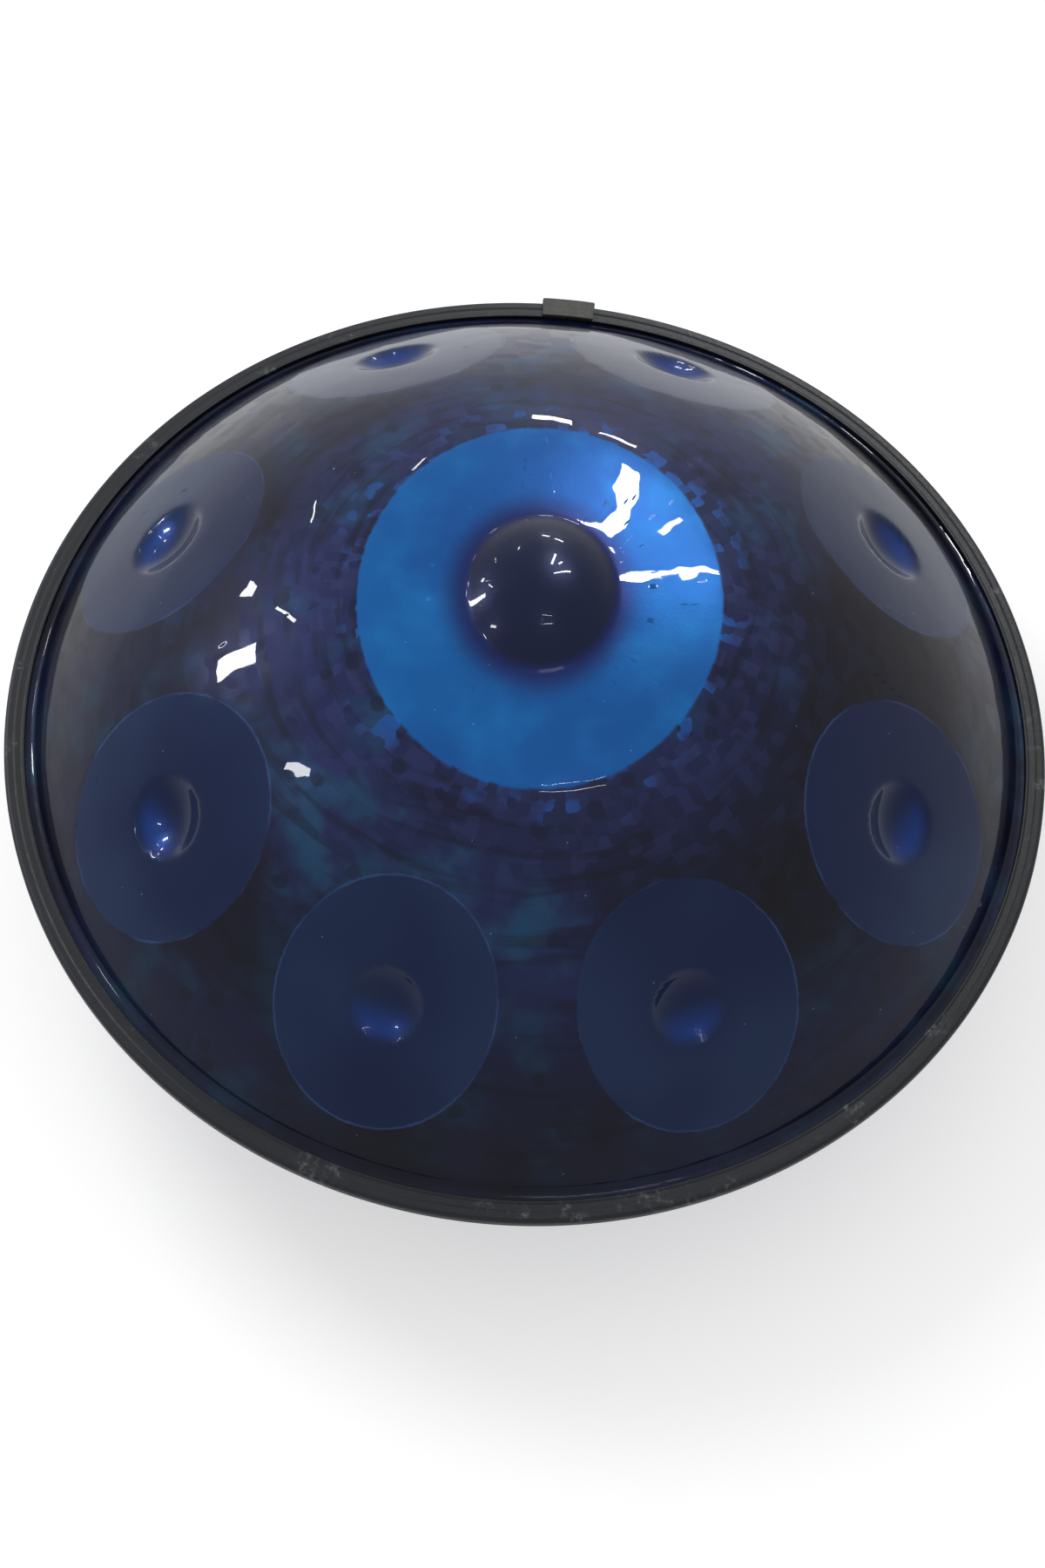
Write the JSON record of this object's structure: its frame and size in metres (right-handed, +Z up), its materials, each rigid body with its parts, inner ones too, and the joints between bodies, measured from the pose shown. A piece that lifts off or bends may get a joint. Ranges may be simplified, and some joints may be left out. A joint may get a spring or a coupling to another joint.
{
  "type": "handpan",
  "caption": "Round steel hand drum of bonded shells: a domed playing side with a raised centre in a ring of dimpled oval tone fields, a bowl with a sound port, and a rubber rim channel.",
  "frame": {"origin": "on the axis of the shells, in the plane that the bowl's standing ring rests on", "axes": "+Z up along the axis through the centre of the dome, -Y towards the player, the rim channel's joint at +Y"},
  "size_m": [0.53, 0.5319, 0.2501],
  "materials": {
    "dome_lacquer": "gloss candy-blue lacquer over hammered steel",
    "bowl_lacquer": "gloss dark blue lacquer over hammered steel",
    "adhesive": "cured structural adhesive",
    "rim_rubber": "satin, scuffed",
    "joiner_rubber": "matte"
  },
  "bodies": {
    "root": {"top_shell": "dome_lacquer", "bottom_shell": "bowl_lacquer", "rim_adhesive": "adhesive", "rim_trim": "rim_rubber", "trim_joiner": "joiner_rubber"}
  },
  "joints": []
}
